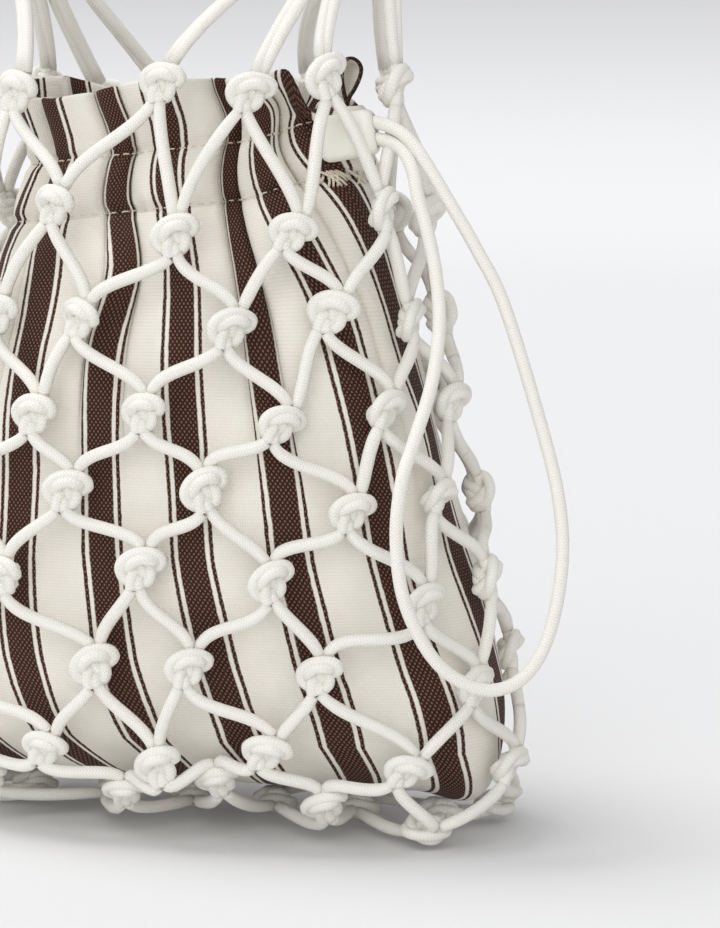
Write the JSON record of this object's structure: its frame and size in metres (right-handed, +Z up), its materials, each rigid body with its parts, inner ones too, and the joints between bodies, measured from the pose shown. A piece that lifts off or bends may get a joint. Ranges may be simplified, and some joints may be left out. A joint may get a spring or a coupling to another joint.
{
  "type": "knot bag",
  "caption": "Soft canvas drawstring pouch with a gathered mouth, carried in a knotted cord net with risers gathered into one arched cord grip.",
  "frame": {"origin": "on the floor under the middle of the bag", "axes": "+Z up, the front face looks along -Y, +X to the side of the drawstring"},
  "size_m": [0.2552, 0.1284, 0.4369],
  "materials": {
    "striped_canvas": "coarse plain weave cotton canvas, cream with dark brown stripes",
    "net_cord": "white braided cord, soft",
    "stopper_plastic": "smooth white, satin",
    "drawstring_cord": "white braided cord, soft"
  },
  "bodies": {
    "root": {"pouch": "striped_canvas", "net_front": "net_cord", "net_back": "net_cord", "gather_right": "net_cord", "gather_left": "net_cord", "grip": "net_cord", "stopper": "stopper_plastic", "drawstring": "drawstring_cord"}
  },
  "joints": []
}
